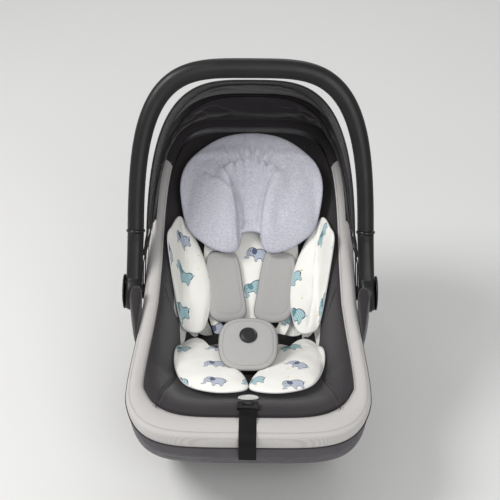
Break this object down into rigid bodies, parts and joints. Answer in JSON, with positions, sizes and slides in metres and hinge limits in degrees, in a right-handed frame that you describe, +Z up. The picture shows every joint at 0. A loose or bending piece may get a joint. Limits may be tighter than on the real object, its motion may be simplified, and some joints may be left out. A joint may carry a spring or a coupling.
{
  "type": "infant car seat",
  "caption": "Rear-facing infant carrier seat with swinging carry handle, canopy, harness and padded newborn insert.",
  "frame": {"origin": "middle of the footprint of the bounding box, on the plane the seat stands on", "axes": "+Z up, -Y towards the foot end, +Y towards the head end, X across the width"},
  "size_m": [0.442, 0.637, 0.6122],
  "materials": {
    "shell_plastic": "satin, fine grain",
    "foam": "expanded bead foam",
    "dark_cloth": "close-woven, matt",
    "canopy_cloth": "thin woven, matt",
    "pale_cloth": "fine ribbed weave",
    "print_cloth": "smooth cotton with a small animal print",
    "jersey": "heather knit",
    "taupe_cloth": "fine twill",
    "webbing": "woven strap",
    "steel": "zinc plated",
    "rubber": "matt",
    "badge": "blank oval patch",
    "red_plastic": "satin",
    "gloss_black": "gloss",
    "black_plastic": "satin"
  },
  "bodies": {
    "carrier": {"carrier_shell": "shell_plastic", "foam_liner": "foam", "seat_cover": "dark_cloth", "cover_band": "pale_cloth", "foot_pad_front_left": "rubber", "foot_pad_front_right": "rubber", "foot_pad_rear_left": "rubber", "foot_pad_rear_right": "rubber", "side_flap_left": "dark_cloth", "pivot_pin_left": "steel", "side_flap_right": "dark_cloth", "pivot_pin_right": "steel", "insert_back": "print_cloth", "insert_wing_left": "print_cloth", "insert_seat_left": "print_cloth", "shoulder_pad_left": "taupe_cloth", "insert_wing_right": "print_cloth", "insert_seat_right": "print_cloth", "shoulder_pad_right": "taupe_cloth", "head_pillow": "jersey", "shoulder_strap_left": "webbing", "lap_strap_left": "webbing", "buckle_tongue_left": "steel", "shoulder_strap_right": "webbing", "lap_strap_right": "webbing", "buckle_tongue_right": "steel", "crotch_strap": "webbing", "buckle_housing": "black_plastic", "crotch_pad": "taupe_cloth", "crotch_badge": "gloss_black", "adjuster_housing": "black_plastic", "adjuster_strap": "webbing", "cover_patch": "badge", "harness_yoke": "steel", "belt_guide": "black_plastic"},
    "handle": {"handle_grip": "black_plastic", "handle_arm_left": "black_plastic", "handle_arm_right": "black_plastic", "handle_ring_left": "gloss_black", "handle_ring_right": "gloss_black", "hub_cover_left": "black_plastic", "hub_cover_right": "black_plastic"},
    "button_left": {"handle_button_left": "gloss_black"},
    "button_right": {"handle_button_right": "gloss_black"},
    "catch": {"handle_catch": "red_plastic"},
    "canopy_mid": {"canopy_bow_mid": "black_plastic", "canopy_panel_rear": "canopy_cloth"},
    "canopy_front": {"canopy_bow_front": "black_plastic", "canopy_panel_front": "canopy_cloth"},
    "buckle_release": {"buckle_button": "red_plastic"},
    "adjuster_release": {"adjuster_button": "gloss_black"}
  },
  "joints": [
    {"name": "handle_pivot", "type": "hinge", "parent": "carrier", "child": "handle", "pos_m": [0, 0.00454, 0.25], "axis": [1, 0, 0], "range_deg": [-95, 25]},
    {"name": "handle_button_left_press", "type": "slide", "parent": "handle", "child": "button_left", "axis": [1, 0, 0], "range_m": [0, 0.004], "stiffness_N_per_m": 900},
    {"name": "handle_button_right_press", "type": "slide", "parent": "handle", "child": "button_right", "axis": [-1, 0, 0], "range_m": [0, 0.004], "stiffness_N_per_m": 900},
    {"name": "handle_catch_slide", "type": "slide", "parent": "handle", "child": "catch", "axis": [0, 1, 0], "range_m": [0, 0.004], "stiffness_N_per_m": 300},
    {"name": "canopy_mid_swing", "type": "hinge", "parent": "carrier", "child": "canopy_mid", "pos_m": [0, 0.00454, 0.25], "axis": [1, 0, 0], "range_deg": [-4, 9], "deforming": ["canopy_panel_rear"]},
    {"name": "canopy_front_swing", "type": "hinge", "parent": "canopy_mid", "child": "canopy_front", "pos_m": [0, 0.00454, 0.25], "axis": [1, 0, 0], "range_deg": [-4, 9], "deforming": ["canopy_panel_front"]},
    {"name": "buckle_button_press", "type": "slide", "parent": "carrier", "child": "buckle_release", "axis": [0, 0.3535, -0.9354], "range_m": [0, 0.003], "stiffness_N_per_m": 1200},
    {"name": "adjuster_button_press", "type": "slide", "parent": "carrier", "child": "adjuster_release", "axis": [0, 0, -1], "range_m": [0, 0.002], "stiffness_N_per_m": 900}
  ],
  "couplings": [
    {"joint": "canopy_front_swing", "follows": "canopy_mid_swing", "ratio": 1}
  ]
}
